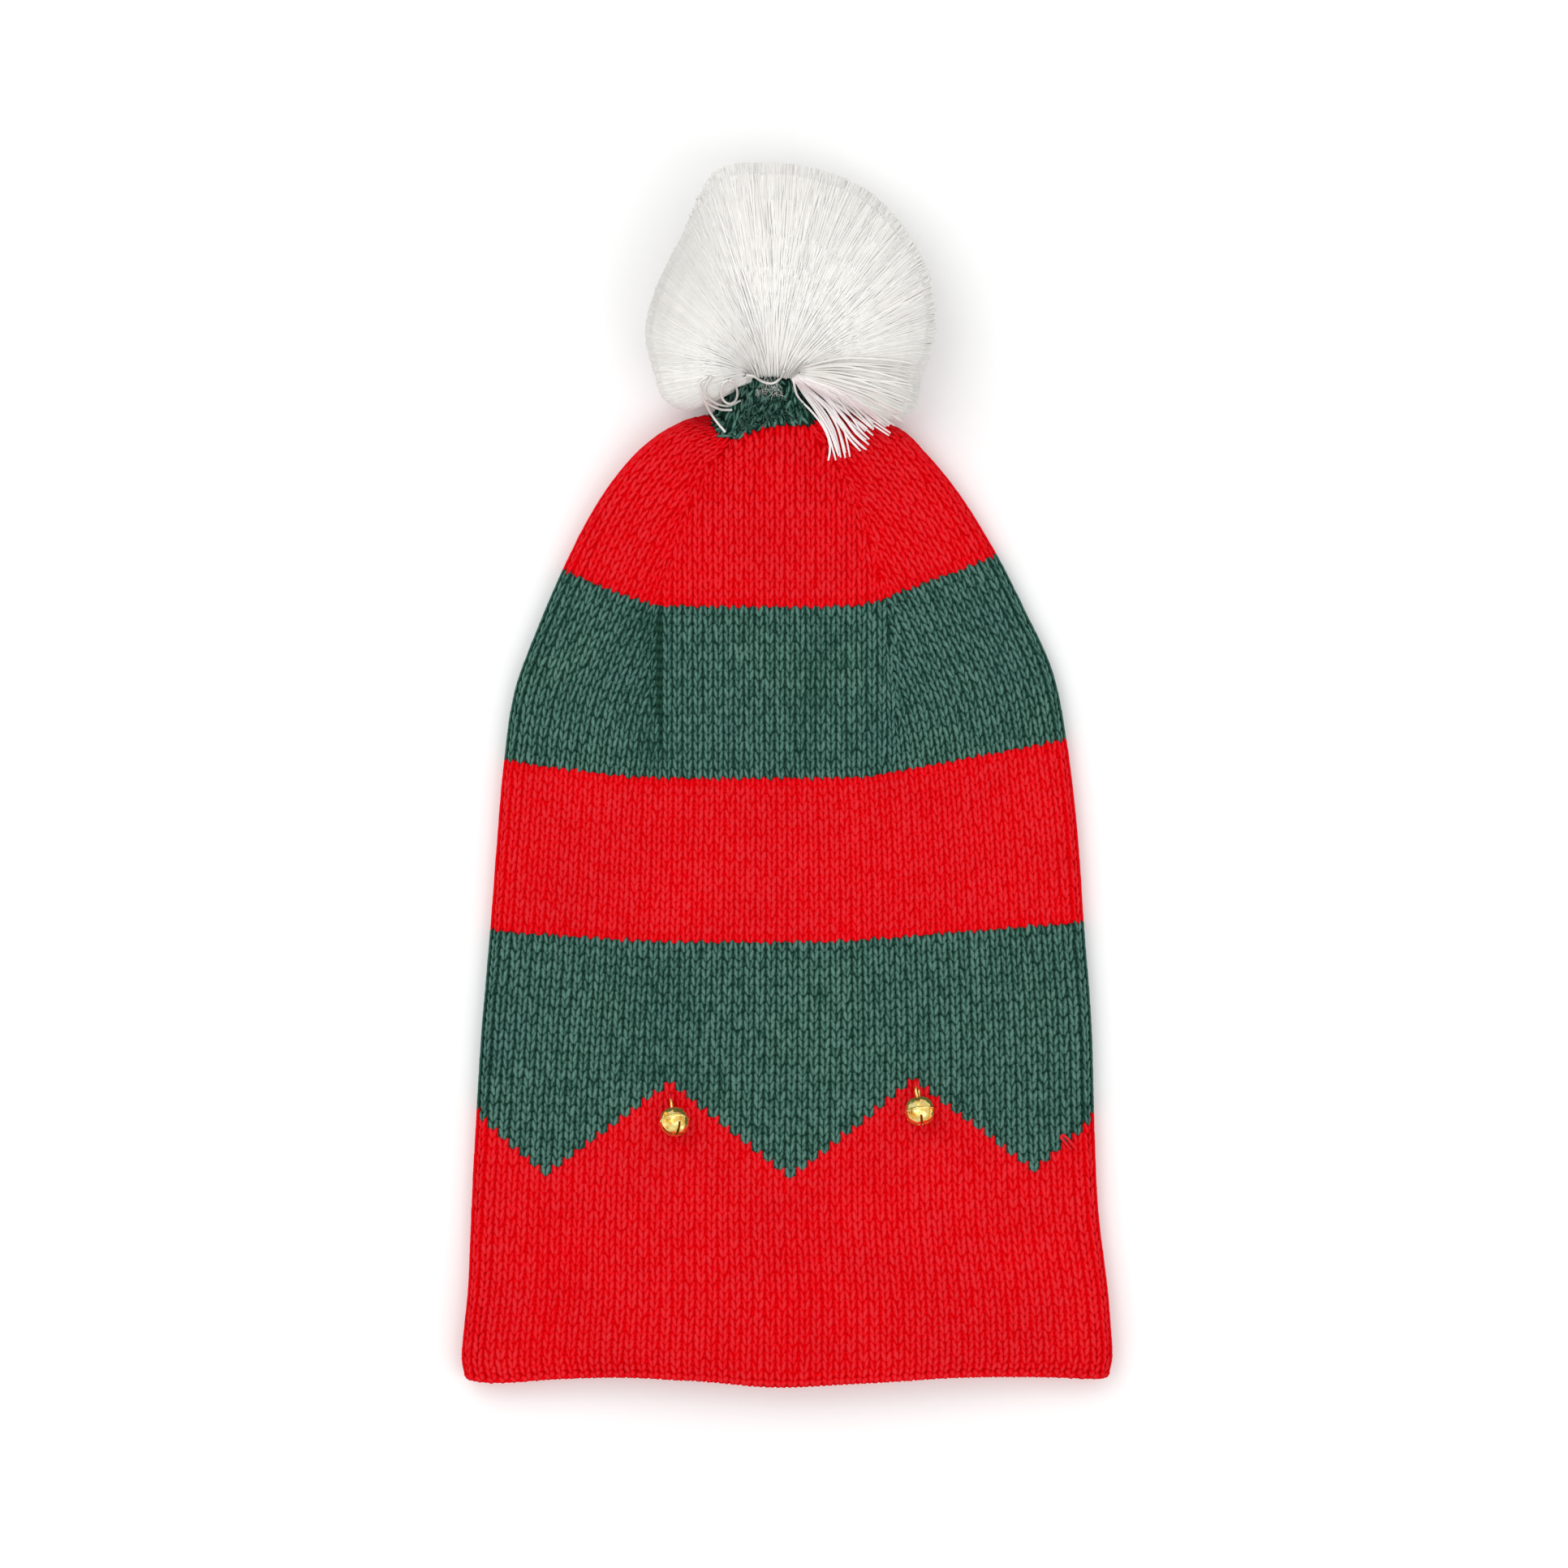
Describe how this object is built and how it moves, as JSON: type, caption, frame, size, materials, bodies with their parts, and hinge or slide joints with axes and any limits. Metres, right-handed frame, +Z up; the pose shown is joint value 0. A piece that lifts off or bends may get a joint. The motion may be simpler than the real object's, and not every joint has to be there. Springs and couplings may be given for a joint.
{
  "type": "knitted santa hat with pompom",
  "caption": "Knitted santa hat in red and green stripes with a zigzag edge, a white thread pompom and small gold bells, lying flat.",
  "frame": {"origin": "middle of the underside of the whole hat as it lies on the table", "axes": "+Z up from the table, +Y from the mouth to the pompom, +X to the right as seen from above with the pompom away from the viewer"},
  "size_m": [0.2206, 0.414, 0.058],
  "materials": {
    "red_knit": "knitted acrylic yarn, matt",
    "green_knit": "knitted acrylic yarn, matt",
    "white_thread": "fine polyester thread, silky",
    "gold_metal": "bright gold plating"
  },
  "bodies": {
    "root": {"knit_shell": "red_knit", "pompom": "white_thread", "bell_left": "gold_metal", "bell_right": "gold_metal"}
  },
  "joints": []
}
